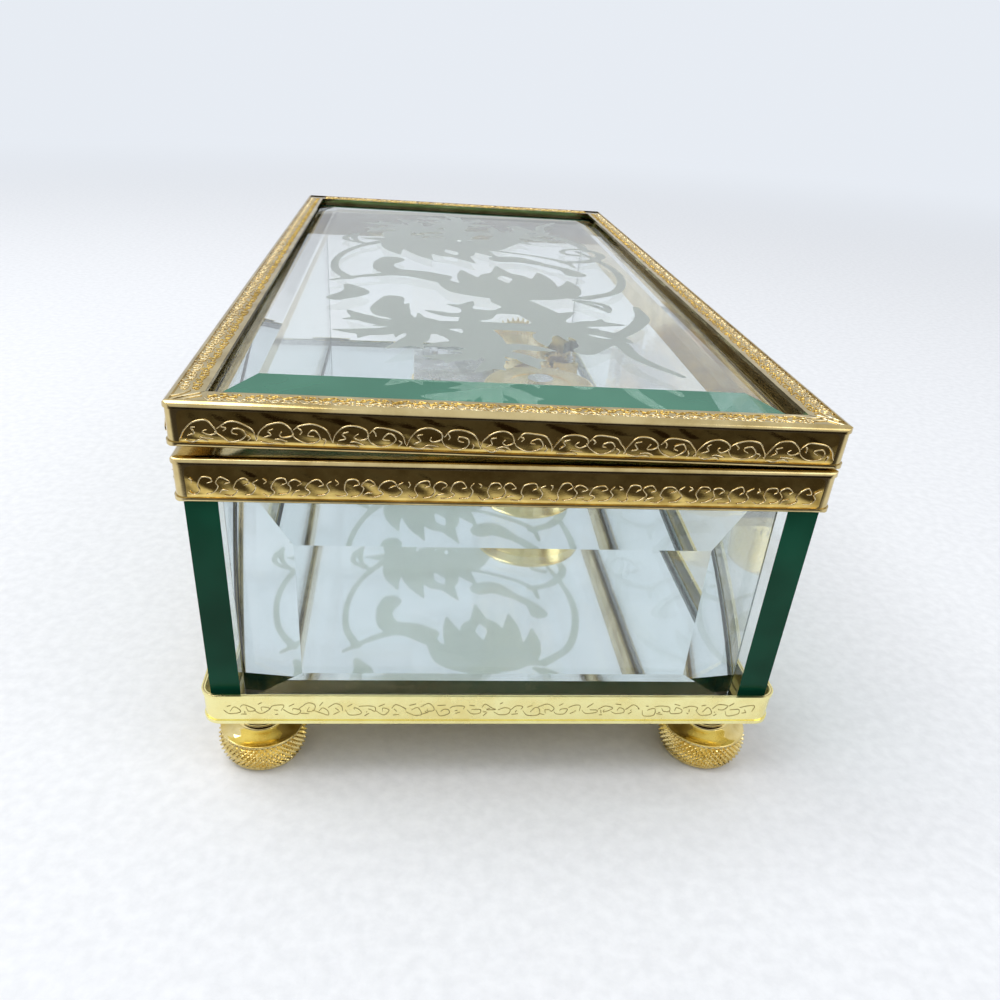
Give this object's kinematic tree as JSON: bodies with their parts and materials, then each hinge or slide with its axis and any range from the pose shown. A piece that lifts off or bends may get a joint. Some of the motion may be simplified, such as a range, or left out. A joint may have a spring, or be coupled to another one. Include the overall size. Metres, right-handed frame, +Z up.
{
  "type": "musical glass casket",
  "caption": "Bevelled glass casket in embossed brass strip, with a hinged etched lid, mirror floor, knurled feet and a small key-wound musical movement inside.",
  "frame": {"origin": "centre of the footprint, on the surface the feet stand on", "axes": "+X towards the side of the lid that lifts, +Y along the length towards the rear end, +Z up"},
  "size_m": [0.0806, 0.1606, 0.0567],
  "materials": {
    "gilt_strip": "embossed, polished",
    "pale_strip": "embossed, polished",
    "turned_brass": "turned and knurled",
    "sheet_brass": "plain sheet",
    "card": "matt",
    "floor_mirror": "silvered",
    "wall_glass": "polished bevels",
    "lid_glass": "polished bevels, etched ornament",
    "works_brass": "gilt",
    "works_steel": "fine ground",
    "fan": "matt"
  },
  "bodies": {
    "case": {"tray_strip": "pale_strip", "base_plate": "sheet_brass", "packing_card": "card", "floor_mirror": "floor_mirror", "front_glass": "wall_glass", "rear_glass": "wall_glass", "left_glass": "wall_glass", "right_glass": "wall_glass", "wall_frame": "gilt_strip", "foot_front_left": "turned_brass", "foot_front_right": "turned_brass", "foot_rear_left": "turned_brass", "foot_rear_right": "turned_brass", "foot_screws": "works_steel", "case_hinge_leaves": "sheet_brass", "hinge_pins": "works_steel", "bedplate": "works_brass", "works_screws": "works_steel", "comb": "works_steel", "comb_screws": "works_steel", "cylinder_bracket": "works_brass", "governor_frame": "works_brass", "bracket_screws": "works_steel"},
    "lid": {"lid_frame": "gilt_strip", "lid_glass": "lid_glass", "lid_hinge_leaves": "sheet_brass"},
    "barrel": {"great_wheel": "works_brass", "barrel_cup": "works_brass", "mainspring": "works_steel"},
    "winder": {"winding_arbor": "works_steel", "winding_key": "works_brass"},
    "cylinder": {"pin_cylinder": "works_brass", "cylinder_arbor": "works_steel", "cylinder_pinion": "works_steel", "cylinder_wheel": "works_brass"},
    "second": {"second_arbor": "works_steel", "second_pinion": "works_steel", "worm_wheel": "works_brass"},
    "fan": {"governor_shaft": "works_steel", "governor_fan": "fan"}
  },
  "joints": [
    {"name": "lid_hinge", "type": "hinge", "parent": "case", "child": "lid", "pos_m": [-0.0396, 0, 0.0506], "axis": [0, -1, 0], "range_deg": [0, 100]},
    {"name": "barrel_spin", "type": "hinge", "parent": "case", "child": "barrel", "pos_m": [0.0144, -0.0035, 0.02], "axis": [0, 0, 1], "continuous": true},
    {"name": "winder_spin", "type": "hinge", "parent": "case", "child": "winder", "pos_m": [0.0144, -0.0035, 0.01], "axis": [0, 0, 1], "continuous": true},
    {"name": "cylinder_spin", "type": "hinge", "parent": "case", "child": "cylinder", "pos_m": [0.0144, 0.025, 0.02445], "axis": [0, 1, 0], "continuous": true},
    {"name": "second_spin", "type": "hinge", "parent": "case", "child": "second", "pos_m": [0.02425, 0.0369, 0.02271], "axis": [0, 1, 0], "continuous": true},
    {"name": "fan_spin", "type": "hinge", "parent": "case", "child": "fan", "pos_m": [0.0279, 0.0369, 0.026], "axis": [0, 0, 1], "continuous": true}
  ],
  "couplings": [
    {"joint": "cylinder_spin", "follows": "barrel_spin", "ratio": 3},
    {"joint": "second_spin", "follows": "barrel_spin", "ratio": -12},
    {"joint": "fan_spin", "follows": "barrel_spin", "ratio": 240}
  ]
}
